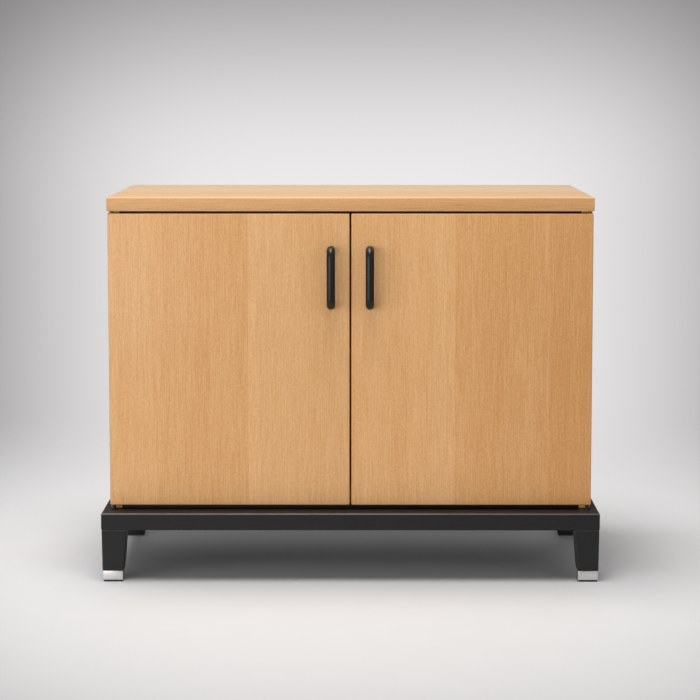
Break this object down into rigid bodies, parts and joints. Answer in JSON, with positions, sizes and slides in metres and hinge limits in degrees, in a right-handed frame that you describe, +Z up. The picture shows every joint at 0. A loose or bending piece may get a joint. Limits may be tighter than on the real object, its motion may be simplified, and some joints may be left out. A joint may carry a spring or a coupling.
{
  "type": "office credenza",
  "caption": "Low office cabinet with a pair of pivot-hung wooden doors, bow handles and an inside shelf, standing on a black steel base with short tapered legs.",
  "frame": {"origin": "on the floor, under the middle of the overall box", "axes": "+X to the right as the doors are faced, +Y towards the back, +Z up"},
  "size_m": [0.876, 0.483, 0.675],
  "materials": {
    "beech": "satin lacquered beech veneer",
    "backing": "lacquered plywood",
    "black_steel": "satin black powder coat",
    "black_handle": "satin black",
    "satin_metal": "satin",
    "rubber": "matt black",
    "brass": "satin",
    "zinc": "zinc plated",
    "nylon": "natural",
    "dark_plastic": "matt"
  },
  "bodies": {
    "cabinet": {"side_panel_left": "beech", "side_panel_right": "beech", "bottom_panel": "beech", "back_panel": "backing", "top_rail_front": "beech", "top_rail_rear": "beech", "top_panel": "beech", "bearer": "dark_plastic", "hinge_socket_upper_left": "brass", "hinge_socket_upper_right": "brass", "hinge_screw_top_left": "zinc", "hinge_screw_top_right": "zinc", "shelf": "beech", "shelf_pin_front_left": "zinc", "shelf_pin_rear_left": "zinc", "shelf_pin_front_right": "zinc", "shelf_pin_rear_right": "zinc", "hinge_pin_lower_left": "brass", "hinge_pin_lower_right": "brass", "hinge_washer_left": "nylon", "hinge_washer_right": "nylon", "magnetic_catch": "dark_plastic", "base_rail_front": "black_steel", "base_rail_rear": "black_steel", "base_rail_left": "black_steel", "base_rail_right": "black_steel", "leg_front_left": "black_steel", "leg_front_right": "black_steel", "leg_rear_left": "black_steel", "leg_rear_right": "black_steel", "foot_front_left": "satin_metal", "foot_front_right": "satin_metal", "foot_rear_left": "black_steel", "foot_rear_right": "black_steel", "foot_pad_front_left": "rubber", "foot_pad_front_right": "rubber", "foot_pad_rear_left": "rubber", "foot_pad_rear_right": "rubber"},
    "left_door": {"door_left": "beech", "handle_left": "black_handle", "handle_screw_upper_left": "zinc", "handle_screw_lower_left": "zinc", "hinge_leaf_upper_left": "brass", "hinge_screw_upper_left": "zinc", "hinge_leaf_lower_left": "brass", "hinge_screw_lower_left": "zinc", "bumper_upper_left": "rubber", "bumper_lower_left": "rubber", "catch_strike_left": "zinc"},
    "right_door": {"door_right": "beech", "handle_right": "black_handle", "handle_screw_upper_right": "zinc", "handle_screw_lower_right": "zinc", "hinge_leaf_upper_right": "brass", "hinge_screw_upper_right": "zinc", "hinge_leaf_lower_right": "brass", "hinge_screw_lower_right": "zinc", "bumper_upper_right": "rubber", "bumper_lower_right": "rubber", "catch_strike_right": "zinc"}
  },
  "joints": [
    {"name": "left_door_swing", "type": "hinge", "parent": "cabinet", "child": "left_door", "pos_m": [-0.419, -0.199, 0.389], "axis": [0, 0, -1], "range_deg": [0, 100]},
    {"name": "right_door_swing", "type": "hinge", "parent": "cabinet", "child": "right_door", "pos_m": [0.419, -0.199, 0.389], "axis": [0, 0, 1], "range_deg": [0, 100]}
  ]
}
